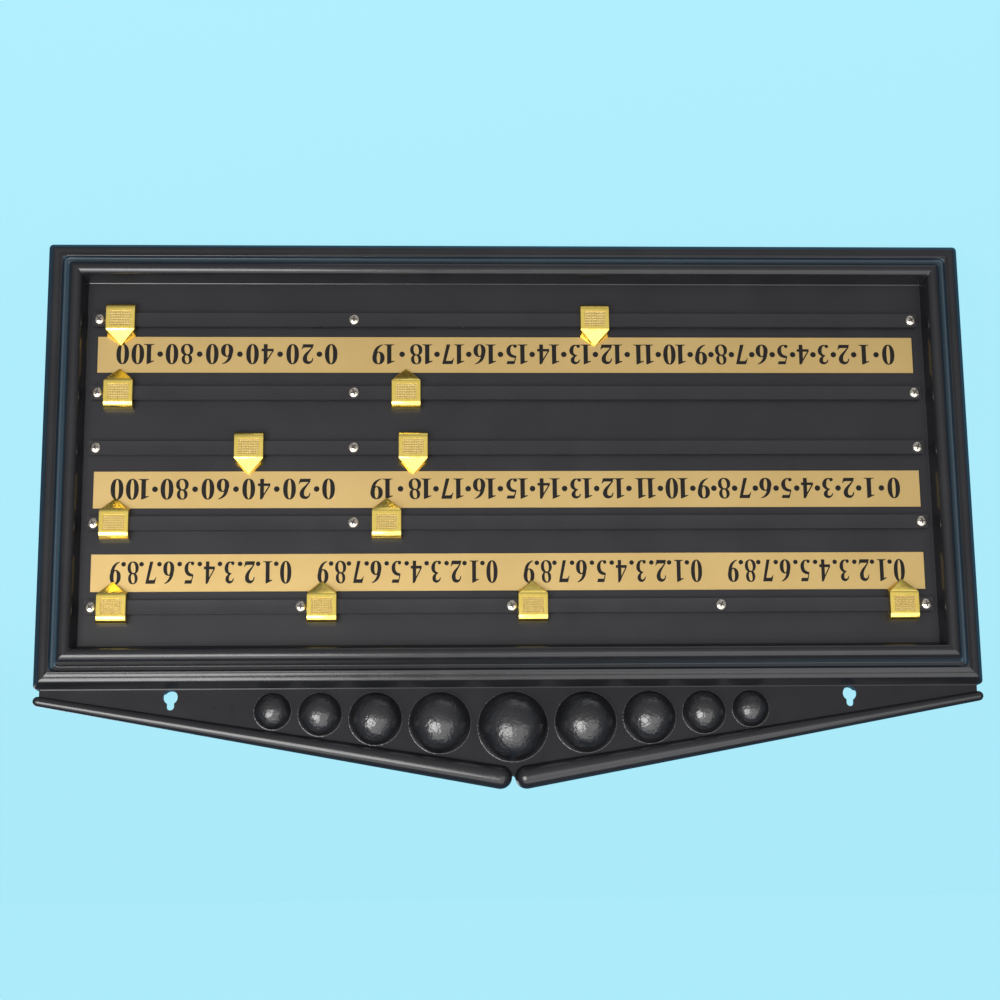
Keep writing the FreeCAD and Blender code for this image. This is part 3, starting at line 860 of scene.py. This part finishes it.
def digit(number):
    """The shapes of a bold, narrow serif numeral, one unit high, centred on x = 0."""
    if number == 0:
        return bowl(0, 0.5, 0.287, 0.512, 0.205, 0.05)
    if number == 1:
        stem = [[(-0.10, 0.0), (0.10, 0.0), (0.10, 1.0), (0.06, 1.0), (-0.10, 0.93)]]
        flag = [[(0.06, 1.0), (-0.24, 0.86), (-0.23, 0.82), (-0.095, 0.84), (0.06, 0.9)]]
        foot = [[(-0.23, 0.0), (0.23, 0.0), (0.23, 0.035), (0.13, 0.05), (0.095, 0.1), (-0.095, 0.1),
                 (-0.13, 0.05), (-0.23, 0.035)]]
        return stem + flag + foot
    if number == 2:
        top = stroke([(-0.235, 0.70, 0.045), (-0.19, 0.85, 0.07), (-0.06, 0.925, 0.13), (0.09, 0.86, 0.19),
                      (0.125, 0.70, 0.20), (0.07, 0.53, 0.15), (-0.07, 0.34, 0.09), (-0.24, 0.12, 0.05)])
        base = [[(-0.27, 0.0), (0.215, 0.0), (0.275, 0.25), (0.245, 0.26), (0.20, 0.185), (0.13, 0.165),
                 (-0.17, 0.165), (-0.26, 0.08), (-0.27, 0.03)]]
        return top + base
    if number == 3:
        top = stroke([(-0.215, 0.76, 0.045), (-0.16, 0.88, 0.07), (-0.03, 0.935, 0.12), (0.085, 0.87, 0.17),
                      (0.10, 0.75, 0.175), (0.03, 0.62, 0.10), (-0.10, 0.54, 0.04)])
        low = stroke([(-0.08, 0.555, 0.05), (0.04, 0.53, 0.11), (0.135, 0.42, 0.17), (0.15, 0.27, 0.185),
                      (0.09, 0.11, 0.13), (-0.03, 0.035, 0.06), (-0.16, 0.06, 0.06)])
        return top + low + disc(-0.165, 0.085, 0.085)
    if number == 4:
        stem = [[(0.0, 0.0), (0.175, 0.0), (0.175, 1.0), (0.085, 1.0), (0.0, 0.86)]]
        bar = [[(-0.28, 0.225), (0.275, 0.225), (0.275, 0.355), (-0.28, 0.355)]]
        slope = [[(-0.28, 0.34), (-0.21, 0.34), (0.09, 0.86), (0.10, 1.0)]]
        return stem + bar + slope
    if number == 5:
        bar = [[(-0.13, 0.99), (-0.17, 0.835), (0.185, 0.835), (0.235, 0.99)]]
        side = [[(-0.13, 0.99), (-0.085, 0.92), (-0.16, 0.66), (-0.225, 0.60)]]
        low = stroke([(-0.21, 0.62, 0.10), (-0.07, 0.60, 0.14), (0.07, 0.52, 0.17), (0.135, 0.37, 0.19),
                      (0.125, 0.21, 0.17), (0.04, 0.07, 0.09), (-0.08, 0.03, 0.05), (-0.17, 0.06, 0.06)])
        return bar + side + low + disc(-0.17, 0.085, 0.085)
    if number == 6:
        ring = bowl(0.01, 0.315, 0.28, 0.325, 0.20, 0.055)
        back = stroke([(0.225, 0.985, 0.03), (0.08, 0.92, 0.08), (-0.06, 0.78, 0.135), (-0.14, 0.58, 0.165),
                       (-0.165, 0.36, 0.175)])
        return ring + back
    if number == 7:
        bar = [[(-0.20, 0.99), (-0.275, 0.70), (-0.245, 0.69), (-0.20, 0.78), (-0.12, 0.825), (0.20, 0.825),
                (0.27, 0.99)]]
        leg = [[(0.27, 0.99), (0.10, 0.84), (-0.11, 0.0), (0.06, 0.0)]]
        return bar + leg
    if number == 8:
        top = bowl(0.0, 0.755, 0.24, 0.257, 0.15, 0.05, tilt=-0.10)
        return top + bowl(0.0, 0.28, 0.282, 0.292, 0.165, 0.055, tilt=-0.10)
    return [[(-x, 1 - y) for x, y in shape] for shape in digit(6)]


def ink_mesh(shapes, height, width, low, high):
    """A thin layer of ink in the outline that the shapes make together."""
    scaled = [([(x * width, y * height) for x, y in shape], low, high) for shape in shapes]
    return relief(scaled)


def shifted(part, x, z):
    move = at(x, z, 0)
    return [v + move for v in part[0]], part[1]


def letter_steps(text, height):
    """How far each letter of a mark stands from the first one."""
    steps = [0.0]
    for left, right in zip(text, text[1:]):
        step = max(least_step, half_widths[left] + half_widths[right] + letter_gap)
        steps.append(steps[-1] + height * step)
    return steps


def number_strip(name, marks, height, spread, base, dot_radius, dot_rise, along=0.0):
    """All the marks on one strip; each mark is (text, place along X), "." standing for the dot.

    spread widens the numbers, base is how far up the strip they stand, and along moves them all.
    """
    _, (z0, _), (_, front) = box_mm(name)
    ink_below, ink_above, led_in = 0.02, 0.03, 0.4
    low, high = front - ink_below, front + ink_above
    glyphs = {str(n): ink_mesh(digit(n), height, height * spread, low, high) for n in range(10)}
    glyphs["."] = relief([(circle(0, dot_rise, dot_radius, 22), low, high)])
    parts = []
    for text, x in marks:
        steps = letter_steps(text, height)
        lead = led_in if len(text) > 1 and text[0] == "1" else 0.0
        start = x + along - steps[-1] / 2 - lead
        for step, letter in zip(steps, text):
            parts.append(shifted(glyphs[letter], start + step, z0 + base))
    return merged(parts)


def run_of(numbers, start, pitch=0.0):
    """Marks for some numbers at an even pitch along X."""
    return [(str(number), start + pitch * k) for k, number in enumerate(numbers)]


def score_marks(height):
    """0 to 19 and then 0 to 100 in twenties, with a dot midway between neighbours."""
    low = run_of([0], start=-243.4) + run_of(range(1, 10), start=-227.6, pitch=13.15)
    low += run_of(range(10, 19), start=-105.4, pitch=20.2) + run_of([19], start=80.3)
    high = run_of([0], start=113.2) + run_of(range(20, 100, 20), start=132.8, pitch=25.35)
    high += run_of([100], start=236.7)
    dots = []
    for group in (low, high):
        for (text, x), (next_text, next_x) in zip(group, group[1:]):
            wider = letter_steps(text, height)[-1] - letter_steps(next_text, height)[-1]
            dots.append((".", (x + next_x) / 2 + wider / 4))
    return low + high + dots


def game_marks():
    """0 to 9 four times over, with a point after each number but the last."""
    first, group_pitch, point_after = -243.7, 127.8, 5.9
    marks = []
    for group in range(4):
        start = first + group_pitch * group
        numbers = run_of(range(2), start, pitch=11.15) + run_of(range(2, 7), start + 22.3, pitch=12.4)
        numbers += run_of(range(7, 10), start + 82.9, pitch=11.0)
        marks += numbers + [(".", x + point_after) for _, x in numbers[:-1]]
    return marks


# ---- the object ----
def add_moulding():
    """The board's moulding in three pieces, and the mouldings and domes on its crest."""
    for name, shape, look in (("frame_moulding", frame_mesh(), "frame"),
                              ("back_panel", panel_mesh(rows), "panel"),
                              ("crest_plate", plate_mesh(), "plate")):
        fit(solid(name, shape), looks[look], "moulding_black", "board", "board_moulding")
    for side, name in ((-1, "raking_moulding_left"), (1, "raking_moulding_right")):
        fit(solid(name + "_fine", rake_mesh(side)), looks["frame"], "moulding_black", "board", name)
    for name in dome_names:
        fit(solid(name + "_fine", dome_mesh(box_mm(name))), looks["dome"], "dome_black", "board", name)


def add_screws(blank, rail, z, places):
    """A rail's screws, each turned its own way, with painted shade in the cross recess."""
    bm = bmesh.new()
    for k, x in enumerate(places):
        copy = blank.data.copy()
        degrees = (37 * k + 11 * len(places) + 23 * int(rail[-1])) % 90
        turn = Matrix.Rotation(math.radians(degrees), 4, "Y")
        copy.transform(Matrix.Translation(at(x, z, 0)) @ turn)
        bm.from_mesh(copy)
        bpy.data.meshes.remove(copy)
    name = rail + "_screws"
    obj = fit(finished(name + "_fine", bm, 30), looks["screw"], "screw_nickel", "board", name)
    obj.data.materials.append(looks["recess"])
    # the faces inside the cross recess get the painted shade material
    for polygon in obj.data.polygons:
        x, height, up = polygon.center.x / MM, -polygon.center.y / MM, polygon.center.z / MM
        away = min(math.hypot(x - place, up - z) for place in places)
        polygon.material_index = 1 if away < recess_reach and recess_low < height < recess_high else 0


def add_rails():
    blank = screw_blank()
    for rail, (z, places) in rows.items():
        fit(solid(rail + "_fine", rail_mesh(rail)), looks["rail"], "rail_black", "board", rail)
        add_screws(blank, rail, z, places)
    bpy.data.objects.remove(blank)


def add_strips():
    """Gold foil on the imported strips, and the numbers printed on them."""
    for name in strip_names:
        nodes[name].data.materials.clear()
        nodes[name].data.materials.append(looks["strip"])
    score = dict(height=13.15, spread=1.06, base=4.7, dot_radius=1.8, dot_rise=6.6)
    game = dict(height=14.05, spread=0.87, base=4.5, dot_radius=1.45, dot_rise=1.6)
    score_places = score_marks(score["height"])
    for name, marks, lettering, along in (("strip_2", score_places, score, 0.4),
                                          ("strip_3", score_places, score, -0.65),
                                          ("strip_1", game_marks(), game, 0.0)):
        ink = solid(name + "_numerals", number_strip(name, marks, along=along, **lettering))
        fit(ink, looks["ink"], "moulding_black", "board")


def add_pointers():
    """Every pointer from one blank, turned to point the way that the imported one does."""
    blank, body_faces = pointer_blank()
    for name in sorted(nodes):
        if not name.startswith("pointer_"):
            continue
        (x0, x1), (z0, z1), _ = box_mm(name)
        rail_z = rows["rail_" + name[8]][0]
        points_up = z1 - rail_z > rail_z - z0
        mesh = blank.data.copy()
        turn = Matrix.Identity(4) if points_up else Matrix.Rotation(math.pi, 4, "Y")
        mesh.transform(Matrix.Translation(at((x0 + x1) / 2, rail_z, 0)) @ turn)
        obj = bpy.data.objects.new(name + "_fine", mesh)
        bpy.context.scene.collection.objects.link(obj)
        fit(obj, looks["pointer"], "pointer_gold", name, name)
        mesh.materials.append(looks["grip"])
        mesh.materials.append(looks["ridge"])
        # the grip's floor gets painted shade, and its ridges a painted highlight
        for polygon in mesh.polygons[body_faces:]:
            polygon.material_index = 1 if polygon.index < body_faces + waffle_base else 2
    bpy.data.objects.remove(blank)


looks = make_materials()
rows = screw_rows()
add_moulding()
add_rails()
add_strips()
add_pointers()


# ---- stage, lights and camera ----
def stage():
    """A wide pale floor that the board's lower edge stands on, and a plain backdrop all round."""
    pale_blue = (0.418, 0.842, 0.975)
    size, gap = 20.0, 0.0004
    drop = frame_bottom * MM - gap
    floor = bpy.data.meshes.new("floor")
    floor.from_pydata([(x, y, drop) for x, y in rectangle(-size, size, -size, size)], [], [(0, 1, 2, 3)])
    backdrop = bpy.data.meshes.new("backdrop")
    bm = bmesh.new()
    bmesh.ops.create_uvsphere(bm, u_segments=48, v_segments=24, radius=size)
    bm.to_mesh(backdrop)
    bm.free()
    look = bpy.data.materials.new("pale_floor")
    look.use_nodes = True
    shader = look.node_tree.nodes["Principled BSDF"]
    shader.inputs["Base Color"].default_value = (0.03, 0.04, 0.04, 1)
    shader.inputs["Roughness"].default_value = 0.9
    shader.inputs["Specular IOR Level"].default_value = 0.0
    shader.inputs["Emission Color"].default_value = (*pale_blue, 1)
    shader.inputs["Emission Strength"].default_value = 0.968
    for name, shape in (("floor", floor), ("backdrop", backdrop)):
        shape.materials.append(look)
        obj = bpy.data.objects.new(name, shape)
        obj.visible_glossy = False
        obj.visible_diffuse = False
        obj.visible_shadow = False
        bpy.context.scene.collection.objects.link(obj)


def area(name, place, aim, size, power, color=(1.0, 1.0, 1.0)):
    """A soft rectangular light that the camera doesn't see."""
    data = bpy.data.lights.new(name, "AREA")
    data.shape = "RECTANGLE"
    data.size, data.size_y = size
    data.energy = power
    data.color = color
    light = bpy.data.objects.new(name, data)
    light.location = place
    light.rotation_mode = "QUATERNION"
    light.rotation_quaternion = (Vector(aim) - Vector(place)).to_track_quat("-Z", "Y")
    light.visible_camera = False
    bpy.context.scene.collection.objects.link(light)


def world():
    """Soft room light: neutral in front of the board, pale blue towards and behind the wall."""
    scene = bpy.context.scene
    scene.world = bpy.data.worlds.new("room")
    scene.world.use_nodes = True
    tree = scene.world.node_tree
    background = tree.nodes["Background"]
    where = tree.nodes.new("ShaderNodeTexCoord")
    parts = tree.nodes.new("ShaderNodeSeparateXYZ")
    ramp = tree.nodes.new("ShaderNodeValToRGB")
    span = tree.nodes.new("ShaderNodeMapRange")
    span.inputs["From Min"].default_value = -1
    span.inputs["From Max"].default_value = 1
    tree.links.new(where.outputs["Generated"], parts.inputs["Vector"])
    tree.links.new(parts.outputs["Y"], span.inputs["Value"])
    tree.links.new(span.outputs["Result"], ramp.inputs["Fac"])
    # from straight in front of the board, at 0, to straight behind the wall, at 1
    set_stops(ramp, (
        (0.0, (0.74, 0.73, 0.73)), (0.10, (0.46, 0.46, 0.48)), (0.28, (0.34, 0.34, 0.37)),
        (0.40, (0.19, 0.20, 0.24)), (0.50, (0.07, 0.10, 0.15)), (0.62, (0.045, 0.13, 0.21)),
        (0.85, (0.055, 0.16, 0.26)), (1.0, (0.08, 0.24, 0.35))))
    tree.links.new(ramp.outputs["Color"], background.inputs["Color"])
    scene.view_settings.view_transform = "Standard"


def camera():
    """In front of the board, a little above and to the right, upside down; fitted to the photo."""
    data = bpy.data.cameras.new("camera")
    data.sensor_width = 36.0
    data.lens = 73.1
    eye = Vector((0.0602, -1.2511, 0.1492))
    forward = Vector((-0.04227, 0.97602, -0.21354)).normalized()
    up = Vector((-0.00211, -0.21381, -0.97687))
    right = forward.cross(up).normalized()
    up = right.cross(forward)
    pose = Matrix((right, up, -forward)).transposed().to_4x4()
    pose.translation = eye
    cam = bpy.data.objects.new("camera", data)
    cam.matrix_world = pose
    bpy.context.scene.collection.objects.link(cam)
    bpy.context.scene.camera = cam


stage()
world()
area("key", place=(0.65, -1.52, 0.60), aim=(0, 0, -0.12), size=(1.0, 1.0), power=30, color=(1.0, 0.985, 0.97))
area("overhead", place=(0.0, -0.95, 1.35), aim=(0, 0, -0.1), size=(1.8, 0.9), power=9)
area("fill", place=(-0.68, -1.50, 0.55), aim=(0, 0, -0.1), size=(1.4, 1.1), power=8)
area("low", place=(-0.45, -0.25, -1.30), aim=(-0.45, 0, -0.1), size=(1.3, 0.45), power=1.4)
area("back", place=(1.20, 1.30, 0.62), aim=(0, 0, -0.12), size=(1.4, 0.8), power=9, color=(0.95, 0.98, 1.0))
camera()
